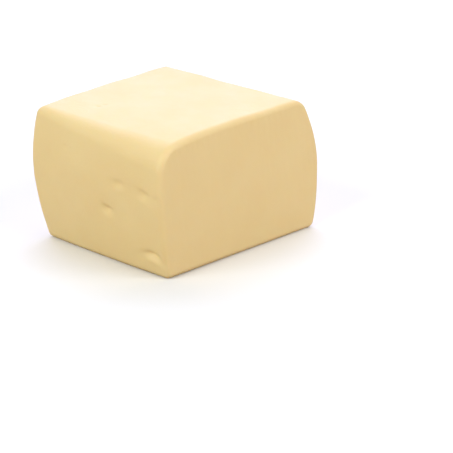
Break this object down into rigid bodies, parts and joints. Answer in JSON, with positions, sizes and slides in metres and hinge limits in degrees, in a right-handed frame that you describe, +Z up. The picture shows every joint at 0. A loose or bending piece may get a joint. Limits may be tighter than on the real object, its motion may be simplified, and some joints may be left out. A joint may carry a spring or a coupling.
{
  "type": "cheese block",
  "caption": "Cut half of a moulded, rindless brick of pale semi-hard cheese, with bulging sides, a flat cut face and a flat base that it rests on.",
  "frame": {"origin": "middle of the block's overall box, on the plane of the resting face", "axes": "+Z up from the resting face, +X out of the cut face, +Y along the cut face, across the loaf"},
  "size_m": [0.144, 0.164, 0.1],
  "materials": {
    "cheese": "pale ivory-yellow rindless cheese, smooth and faintly waxy, with soft dents on the moulded sides"
  },
  "bodies": {
    "root": {"cheese_block": "cheese"}
  },
  "joints": []
}
